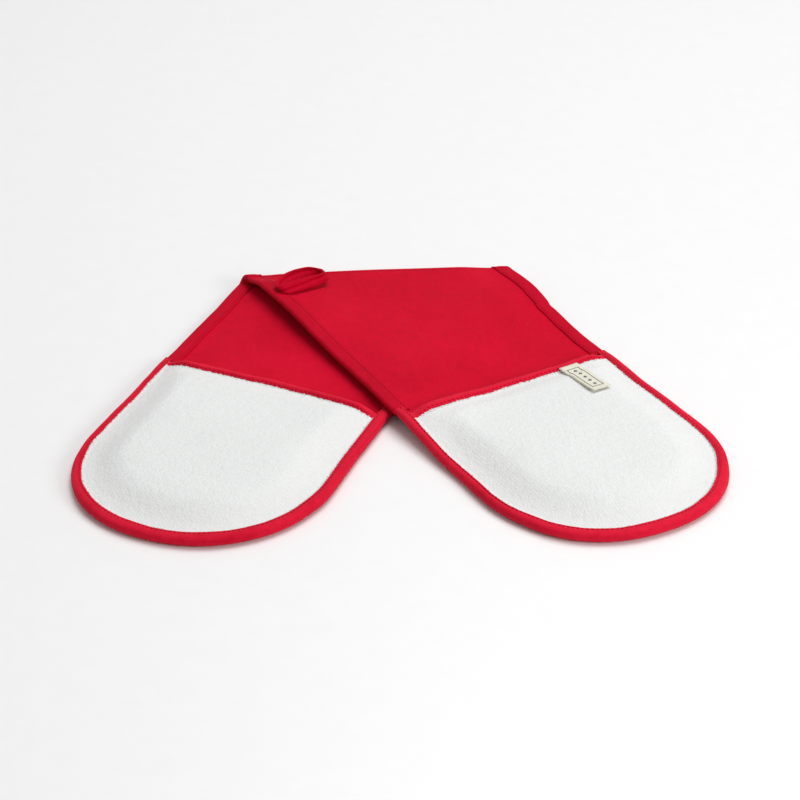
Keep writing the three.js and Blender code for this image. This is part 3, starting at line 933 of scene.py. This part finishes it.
def make_pocket(arm):
    """Lining, wadding and terry of one hand pocket."""

    def grid_of(depths, row_step):
        s, t = cloth_grid(arm, depths, lambda columns: mouth_at(arm, columns) + 2.6, row_step)
        return s, t, np.stack([t, s], axis=-1)

    def layer(word, node, grid, low, high, material):
        names = f"pocket_{word}", f"pocket_{node}"
        return arm_layer(arm, *names, grid, low, high, material, node)

    grid = grid_of(CLOTH_DEPTHS, ROW_STEP)
    space, top = hand_space_top(arm, *grid[:2]), padding_top(arm, *grid[:2])
    under = layer("lining_cloth", "lining", grid, space, space + FABRIC, red_lining)
    fill = layer("padding", "wadding", grid, space + FABRIC + GAP, top, wadding)
    grid = grid_of(TERRY_DEPTHS, TERRY_ROW_STEP)
    s, t, _ = grid
    shown = ease((edge_distance(arm, s, t) - 6.5) / 3) * ease((s - mouth_at(arm, t) - 6.5) / 3)
    top = terry_top(arm, s, t) + pile(s.shape, int(arm.seed * 10)) * shown
    bottom = padding_top(arm, s, t) + GAP
    terry = layer("terry_cloth", "terry", grid, bottom, top, white_terry)
    return under, fill, terry


def yarn_loop(rng, foot, lean):
    """One loop of terry yarn, an arch that leans over."""
    reach = rng.uniform(0.5, 1.2)
    aside = np.array([-lean[1], lean[0]])
    foot_gap = rng.uniform(0.5, 0.9) * aside
    turn = np.linspace(0, math.pi, 6)
    shift = np.outer(np.sin(turn) * reach, lean) + np.outer(np.cos(turn) / 2, foot_gap)
    height = np.sin(turn) * rng.uniform(0.4, 0.9) - 0.25
    return foot + shift, height


def make_fringe(arm):
    """The ragged row of yarn loops where the terry meets its bindings."""
    rng = np.random.default_rng(int(arm.seed * 100))
    islands = []

    def add_loop(s, t, lean):
        lean = lean + rng.normal(0, 0.35, 2)
        foot = np.array([s, t])
        spots, heights = yarn_loop(rng, foot, lean / np.linalg.norm(lean))
        line = place(arm, *spots.T, terry_top(arm, s, t) + heights)
        radius = rng.uniform(0.2, 0.3) / 1000
        islands.append(thread_island(line, np.full(len(line), radius)))

    for along in np.arange(14, outline_length(arm) - 14, LOOP_SPACING):
        inset = END_TAPE_WIDTH + rng.uniform(0.0, 1.4) - 1.4 * taken_up(along)
        s, t = outline(arm, along, inset)
        outer_s, outer_t = outline(arm, along, inset - 1)
        add_loop(s, t, np.array([outer_s - s, outer_t - t]))
    for t in np.arange(-HALF_WIDTH + 11, HALF_WIDTH - 11, LOOP_SPACING):
        add_loop(mouth_at(arm, t) + BAND_WIDTH + rng.uniform(0.3, 2.0), t, np.array([-1.0, 0.0]))
    piece = join_threads(f"{arm.name}_pocket_terry_loops", islands, white_loops)
    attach(piece, arm.body)
    return piece


# ---------- stitching ----------


def sew(arm, name, node, ends, spot, u, thread, signs=(1, -1)):
    """Single stitches along a seam, on a tape's upper side and, with sign -1, its lower side.
    u says where the seam sits round the tape's section, for spot(along, u, face)."""
    start, stop = ends
    islands = []
    for sign in signs:
        for middle in np.arange(start + STITCH_PITCH / 2, stop, STITCH_PITCH):
            line = spot(middle + np.linspace(-0.5, 0.5, 5) * STITCH_LENGTH, sign * u, 1.0)
            line[:, 2] += sign * STITCH_RISE
            islands.append(thread_island(line, STITCH_RADII))
    piece = join_threads(f"{arm.name}_{name}", islands, thread)
    return settle(piece, arm.body, f"{arm.name}_{node}")


def seam_u(half, width, inset):
    return 0.5 + 0.5 * (width - inset - half) / (width - half)


def make_end_stitches(arm):
    u = seam_u(END_WRAP, END_TAPE_WIDTH, END_INSET)
    ends = -arm.tucks[-1], outline_length(arm) + arm.tucks[1]
    return sew(arm, "end_seam", "end_stitch", ends, partial(end_tape_point, arm), u, rim_thread_painted_light)


def make_side_stitches(arm, hand):
    word = SIDE_WORDS[hand]
    u = seam_u(SIDE_WRAP, SIDE_TAPE_WIDTH, SIDE_INSET)
    start = float(bend_line(arm, hand * (HALF_WIDTH - SIDE_TAPE_WIDTH + SIDE_INSET)))
    ends = start, arm.mouth - arm.tucks[hand] - 1.5
    names = f"side_seam_{word}", f"binding_stitch_{word}"
    return sew(arm, *names, ends, partial(side_tape_point, arm, hand), u, red_thread_painted_shade)


def make_band_stitches(arm):
    u = seam_u(BAND_WRAP, BAND_WIDTH, BAND_INSET)
    ends = -HALF_WIDTH + 11, HALF_WIDTH - 11
    names = "mouth_seam", "pocket_mouth_stitch"
    return sew(arm, *names, ends, partial(band_point, arm), u, rim_thread_painted_light, signs=(1,))


# ---------- hanging loop ----------

# Stations round the ring of tape, from its root at the binding: (across, up the arm, height) of
# the tape's lower edge and of its upper edge. The ring stands, leaning back towards the fold.
LOOP_STATIONS = (
    ((-6.6, -9.5, 0.2), (-10.6, -4.4, 5.4)),
    ((-4.2, -12.4, 0.0), (-7.6, -6.2, 5.8)),
    ((1.0, -12.5, 0.0), (-2.6, -5.8, 6.0)),
    ((7.0, -12.2, 0.0), (4.0, -5.2, 6.2)),
    ((14.0, -11.6, 0.0), (11.6, -5.0, 6.2)),
    ((22.0, -10.4, 0.0), (19.6, -4.8, 6.2)),
    ((29.0, -8.6, 0.0), (26.2, -4.8, 6.0)),
    ((33.0, -4.6, 0.2), (29.6, -2.8, 6.0)),
    ((32.0, -0.6, 0.3), (28.6, 2.0, 6.6)),
    ((26.0, 1.8, 0.3), (23.6, 6.8, 7.4)),
    ((18.0, 2.4, 0.3), (16.0, 8.2, 7.6)),
    ((9.0, 2.0, 0.3), (7.4, 8.6, 7.0)),
    ((1.5, -0.2, 0.3), (-1.0, 6.8, 6.0)),
    ((-5.0, -4.8, 0.3), (-8.6, 1.6, 5.4)),
)
LOOP_STEPS = 96  # rings of points round the loop
LOOP_THICKNESS = 2.3
LOOP_WIDTH = 9.0
LOOP_ORIGIN = (2.5, -74.5, 2 * BEND_RADIUS + 0.4)  # s, t and height of its root on the upper arm
LOOP_THREAD_RADIUS = 0.22


def smooth_ring(values, count):
    """A closed smooth curve through a few points."""
    knots = len(values)
    spot = np.arange(count) / count * knots
    i = spot.astype(int)
    f = (spot - i)[:, None]
    p = [values[(i + k) % knots] for k in (-1, 0, 1, 2)]
    a = 2 * p[1]
    b = p[2] - p[0]
    c = 2 * p[0] - 5 * p[1] + 4 * p[2] - p[3]
    d = -p[0] + 3 * p[1] - 3 * p[2] + p[3]
    return (a + b * f + c * f**2 + d * f**3) / 2


def make_loop():
    """A ring of folded tape standing on the upper arm beside its left binding."""
    stations = np.array(LOOP_STATIONS)
    low, high = (smooth_ring(stations[:, k], LOOP_STEPS) for k in (0, 1))
    shares = np.linspace(0, 1, 25)
    bulge = np.sin(shares * math.pi) * 0.35
    along = np.gradient(low + high, axis=0)
    normal = np.cross(along, high - low)
    normal /= np.linalg.norm(normal, axis=1)[:, None]
    turn = np.arange(len(low)) / len(low) * 2 * math.pi
    slit = (0.56 - 0.18 * np.cos(turn - 0.6))[:, None]  # the tape's two folds meet here
    from_slit = np.abs(shares - slit)
    thickness = LOOP_THICKNESS / 2 * mix(0.12, 1, ease((from_slit - 0.02) / 0.2))
    thickness = thickness * (1 - 0.6 * np.abs(shares * 2 - 1) ** 14)
    core = low[:, None] + (high - low)[:, None] * shares[None, :, None]
    out = core + normal[:, None] * (bulge + thickness)[..., None]
    back = core + normal[:, None] * (bulge - thickness)[..., None]
    points = loop_frame(np.concatenate([out, back[:, ::-1]], axis=1))
    faces = quads_of(np.pad(index_grid(*points.shape[:2]), (0, 1), mode="wrap"))
    across = np.concatenate([shares, shares[::-1]]) * LOOP_WIDTH
    uv = np.stack(np.broadcast_arrays(across, np.arange(LOOP_STEPS)[:, None]), axis=-1)
    piece = add_mesh("hanging_loop_tape", points, outward(points, faces), red_tape, uv)
    seam = join_threads("hanging_loop_seam", loop_stitches(low, high, normal), rim_thread_painted_light)
    for bending in (piece, seam):
        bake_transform(bending)
    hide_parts("hanging_loop")
    return piece, seam


def loop_frame(local):
    """Local loop coordinates (across, up the arm, height) in the row frame."""
    root_s, root_t, root_h = LOOP_ORIGIN
    s = root_s - local[..., 1]
    t = root_t + local[..., 0]
    lift = edge_lift(UPPER, root_s, root_t)
    return to_frame(s * SIN + t * COS, -s * COS + t * SIN, root_h + lift + local[..., 2])


def loop_stitches(low, high, normal):
    """A row of stitches along each of the ring's two edges, inside and outside."""
    islands = []
    radii = np.array([0.6, 1, 0.6]) * LOOP_THREAD_RADIUS / 1000
    count = len(low)
    for share in (0.12, 0.9):
        line = low + (high - low) * share
        for sign in (1, -1):
            lifted = line + normal * sign * (LOOP_THICKNESS / 2 + 0.02) + normal * 0.15
            for first in range(0, count - 3, 4):
                core = lifted[first : first + 3]
                core = np.stack([mix(core[0], core[2], k) for k in (0, 0.5, 1)])
                core[[0, 2]] -= normal[[first, first + 2]] * sign * 0.3
                islands.append(thread_island(loop_frame(core), radii))
    return islands


# ---------- label ----------


def label_height(s, t):
    """How high the label lies: over the terry, curling up a little towards its folded end."""
    reach = np.clip((s - UPPER.mouth - BAND_WIDTH) / LABEL_LENGTH, 0, 1.1)
    return terry_top(UPPER, np.maximum(s, UPPER.mouth + 17), t) + 0.6 + 1.5 * reach**2


def label_spot(along, across, lift):
    """A point of the label: along from its root, across from its middle line."""
    s = UPPER.mouth + BAND_WIDTH - 1.0 + along
    t = LABEL_OFFSET + across + LABEL_SLANT * along
    return place(UPPER, s, t, label_height(s, t) + lift)


def make_label():
    """Woven tape folded double, with a plain woven frame and a row of diamonds."""
    length, half_gap, ply, steps = LABEL_LENGTH + 1.5, 0.45, 0.3, 22
    turn = np.linspace(-math.pi / 2, math.pi / 2, 9)[1:-1]
    straight = np.linspace(0, length, steps)
    along = np.concatenate([straight, length + half_gap * np.cos(turn), straight[::-1]])
    flat = np.full(steps, half_gap)
    lift = np.concatenate([-flat, half_gap * np.sin(turn), flat])
    inner = half_gap - ply
    inner_along = np.concatenate([straight, length + inner * np.cos(turn), straight[::-1]])
    inner_lift = lift * inner / half_gap
    across = np.linspace(-LABEL_WIDTH / 2, LABEL_WIDTH / 2, 9)
    outer = label_spot(along[:, None], across, lift[:, None])
    inside = label_spot(inner_along[:, None], across, inner_lift[:, None])
    run = np.cumsum(np.hypot(np.gradient(along), np.gradient(lift)))
    uv = np.stack(np.broadcast_arrays(across, run[:, None]), axis=-1)
    piece = shell("label_cloth", inside, outer, uv, label_tape)
    settle(piece, "tag", "label")
    marks = make_label_marks(half_gap)
    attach(marks, "tag")
    return piece, marks


def mark_patch(corners, lift):
    """A thin raised patch of embroidery between four (along, across) corners."""
    corners = np.array(corners, float)
    u, v = np.meshgrid(np.linspace(0, 1, 9), np.linspace(0, 1, 3), indexing="ij")
    weight = [(1 - u) * (1 - v), u * (1 - v), u * v, (1 - u) * v]
    spots = sum(w[..., None] * corner for w, corner in zip(weight, corners))
    low, high = (label_spot(spots[..., 0], spots[..., 1], h) for h in (lift, lift + MARK_RISE))
    return closed_layer(low, high)


def make_label_marks(lift):
    """A rectangular frame and a row of small diamonds."""
    near, far, side, line = 5.5, 37.5, 4.8, 0.5
    tall, wide = 1.7, 1.5
    boxes = (
        (near, far, -side, -side + line),
        (near, far, side - line, side),
        (near, near + line, -side, side),
        (far - line, far, -side, side),
    )
    bars = [[(a, c), (b, c), (b, d), (a, d)] for a, b, c, d in boxes]
    for middle in np.linspace(near + 4, far - 4, 5):
        bars.append([(middle - tall, 0), (middle, -wide), (middle + tall, 0), (middle, wide)])
    points, faces = joined([mark_patch(bar, lift) for bar in bars])
    return add_mesh("label_marks", points, faces, grey_thread, points[:, :2] * 1000)


# ---------- table, light and camera ----------


def make_table():
    reach, count = 3.0, 60  # in metres, and points along each side
    line = np.linspace(-reach, reach, count)
    x, y = np.meshgrid(line, line)
    points = np.stack([x, y, np.zeros_like(x)], axis=-1)
    add_mesh("table", points, quads_of(index_grid(count, count)), pale_table)


def area_light(name, location, target, size, power):
    data = bpy.data.lights.new(name, "AREA")
    data.shape = "RECTANGLE"
    data.size, data.size_y = size
    data.energy = power
    light = bpy.data.objects.new(name, data)
    light.location = location
    aim = Vector(target) - Vector(location)
    light.rotation_euler = aim.to_track_quat("-Z", "Y").to_euler()
    bpy.context.scene.collection.objects.link(light)


def make_light():
    """A soft white room, a big softbox over the glove and a smaller one at its right front."""
    world = bpy.data.worlds.new("studio")
    world.use_nodes = True
    room = world.node_tree.nodes["Background"].inputs
    room["Color"].default_value = (1, 1, 1, 1)
    room["Strength"].default_value = 0.38
    bpy.context.scene.world = world
    area_light("overhead_softbox", (0.7, 1.1, 2.9), (0, 0.1, 0), (2.4, 2.4), 68)
    area_light("key_softbox", (1.5, -1.2, 0.9), (0, -0.05, 0), (0.8, 0.6), 16)
    bpy.context.scene.view_settings.view_transform = "Standard"


def make_camera():
    """A long lens in front of the glove, looking down on it."""
    data = bpy.data.cameras.new("camera")
    data.lens, data.sensor_width = 101.5, 36
    camera = bpy.data.objects.new("camera", data)
    camera.location = (-0.09125, -1.34769, 0.82569)
    camera.rotation_euler = (math.radians(58.665), 0, math.radians(-4.1145))
    bpy.context.scene.collection.objects.link(camera)
    bpy.context.scene.camera = camera


# ---------- assembly ----------


def build_arm(arm):
    under, over, fill = make_strip_cloths(arm)
    tapes = [make_side_tape(arm, hand) for hand in (-1, 1)]
    seams = [make_side_stitches(arm, hand) for hand in (-1, 1)]
    lining, pocket_fill, terry = make_pocket(arm)
    band, end_tape = make_band(arm), make_end_tape(arm)
    band_seam, end_seam = make_band_stitches(arm), make_end_stitches(arm)
    loops = make_fringe(arm)


def build_fold():
    face, fill, back = make_fold_cloths()
    tapes = [make_fold_tape(hand) for hand in (-1, 1)]


def build_trims():
    loop, loop_seam = make_loop()
    label, marks = make_label()


make_camera()
make_light()
make_table()
build_arm(LOWER)
build_arm(UPPER)
build_fold()
build_trims()

bpy.context.view_layer.update()
